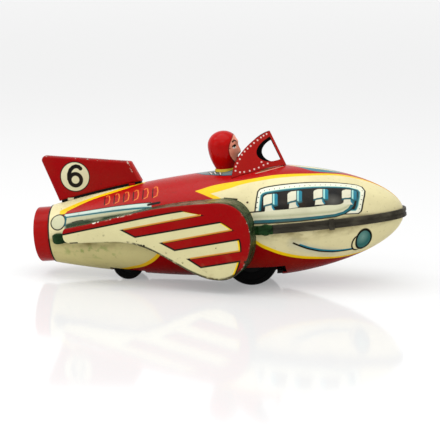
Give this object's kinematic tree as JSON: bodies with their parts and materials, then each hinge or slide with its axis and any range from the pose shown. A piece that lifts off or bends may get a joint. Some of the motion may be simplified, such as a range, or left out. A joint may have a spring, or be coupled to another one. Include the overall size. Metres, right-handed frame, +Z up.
{
  "type": "tin toy rocket",
  "caption": "Lithographed tin space rocket on a friction motor, with pan wings, tail fin, windshield and a driver figure.",
  "frame": {"origin": "on the floor under the middle of the toy", "axes": "+X towards the nose, +Z up, the right side with the near wing of the picture towards -Y"},
  "size_m": [0.1813, 0.0724, 0.0729],
  "materials": {
    "printed_red": "glossy lithographed tin, red with cream, yellow and teal bands, worn",
    "wing_print": "glossy lithographed tin, aged cream with red bars",
    "fin_print": "glossy lithographed tin, deep red with a pale roundel",
    "shield_red": "glossy lithographed tin, deep red with small pale dots",
    "ring_red": "glossy enamel, bright red",
    "inner_tin": "dull enamel, dark red",
    "strip_grey": "worn dark grey-brown enamel",
    "worn_green": "worn dark green enamel",
    "head_paint": "glossy moulded head, red helmet with a painted face",
    "collar_yellow": "glossy enamel, yellow",
    "bare_steel": "bare pressed steel",
    "cast_weight": "turned cast iron",
    "gear_brass": "stamped brass",
    "tyre_rubber": "aged black rubber",
    "black_enamel": "black japanned pressed tin"
  },
  "bodies": {
    "chassis": {"upper_shell": "printed_red", "lower_shell": "printed_red", "nose_bumper": "strip_grey", "right_waist_strip": "strip_grey", "left_waist_strip": "strip_grey", "strip_clips": "strip_grey", "right_wing_rail": "worn_green", "left_wing_rail": "worn_green", "right_wing": "wing_print", "left_wing": "wing_print", "tail_ring": "ring_red", "tail_bulkhead": "inner_tin", "fin_right_skin": "fin_print", "fin_left_skin": "fin_print", "windshield": "shield_red", "driver_head": "head_paint", "driver_collar": "collar_yellow", "head_washer": "bare_steel", "motor_right_plate": "black_enamel", "motor_left_plate": "black_enamel", "motor_pillars": "bare_steel", "axle_bushes": "gear_brass", "rear_axle_bracket": "black_enamel"},
    "front_wheelset": {"front_axle": "bare_steel", "drive_gear": "gear_brass", "front_right_tyre": "tyre_rubber", "front_left_tyre": "tyre_rubber", "front_right_disc": "black_enamel", "front_left_disc": "black_enamel"},
    "cluster": {"cluster_arbor": "bare_steel", "cluster_pinion": "gear_brass", "cluster_gear": "gear_brass"},
    "flywheel_set": {"flywheel_shaft": "bare_steel", "flywheel": "cast_weight", "flywheel_pinion": "gear_brass"},
    "rear_wheelset": {"rear_axle": "bare_steel", "rear_right_tyre": "tyre_rubber", "rear_left_tyre": "tyre_rubber", "rear_right_disc": "black_enamel", "rear_left_disc": "black_enamel"}
  },
  "joints": [
    {"name": "front_axle_spin", "type": "hinge", "parent": "chassis", "child": "front_wheelset", "pos_m": [0.01764, 0, 0.0132], "axis": [0, 1, 0], "continuous": true},
    {"name": "cluster_spin", "type": "hinge", "parent": "chassis", "child": "cluster", "pos_m": [0.01076, 0, 0.02303], "axis": [0, 1, 0], "continuous": true},
    {"name": "flywheel_spin", "type": "hinge", "parent": "chassis", "child": "flywheel_set", "pos_m": [0.01764, 0, 0.03286], "axis": [0, 1, 0], "continuous": true},
    {"name": "rear_axle_spin", "type": "hinge", "parent": "chassis", "child": "rear_wheelset", "pos_m": [-0.04346, 0, 0.0076], "axis": [0, 1, 0], "continuous": true}
  ],
  "couplings": [
    {"joint": "cluster_spin", "follows": "front_axle_spin", "ratio": -3},
    {"joint": "flywheel_spin", "follows": "front_axle_spin", "ratio": 9}
  ]
}
